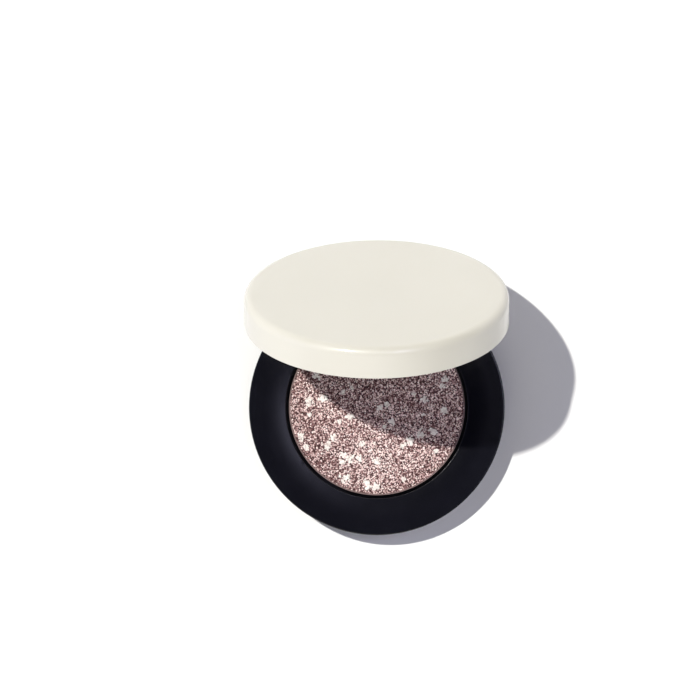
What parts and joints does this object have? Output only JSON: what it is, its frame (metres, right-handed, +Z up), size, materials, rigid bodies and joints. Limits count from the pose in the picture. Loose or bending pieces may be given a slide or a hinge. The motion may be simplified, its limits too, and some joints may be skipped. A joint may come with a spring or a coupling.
{
  "type": "eyeshadow compact",
  "caption": "Round single-pan eyeshadow compact, lid open: cream hinged lid with an inside mirror, dark navy ring base and a pan of pressed shimmer powder.",
  "frame": {"origin": "centre of the foot ring that the base stands on", "axes": "+Z up from the table, +Y from the middle of the pan towards the hinge, +X to the right seen from the front"},
  "size_m": [0.0384, 0.0436, 0.0393],
  "materials": {
    "navy_plastic": "satin moulded",
    "label_paper": "matt blank label",
    "weight_steel": "zinc plated",
    "magnet_nickel": "nickel plated",
    "clear_adhesive": "soft glue film",
    "pan_aluminium": "pressed, satin",
    "pressed_powder": "granular shimmer powder",
    "pin_steel": "drawn wire",
    "cream_lacquer": "satin lacquer",
    "cream_plastic": "fine moulded texture",
    "mirror_glass": "silvered, bevelled edge"
  },
  "bodies": {
    "base": {"base_housing": "navy_plastic", "base_plate": "navy_plastic", "base_label": "label_paper", "weight_disc": "weight_steel", "base_magnet": "magnet_nickel", "pan_adhesive": "clear_adhesive", "pan": "pan_aluminium", "powder_cake": "pressed_powder", "hinge_pin": "pin_steel"},
    "lid": {"lid_shell": "cream_lacquer", "lid_liner": "cream_plastic", "lid_magnet": "magnet_nickel", "mirror": "mirror_glass", "mirror_adhesive": "clear_adhesive"}
  },
  "joints": [
    {"name": "lid_hinge", "type": "hinge", "parent": "base", "child": "lid", "pos_m": [0, 0.0181, 0.00295], "axis": [-1, 0, 0], "range_deg": [-64.6, 35.4]}
  ]
}
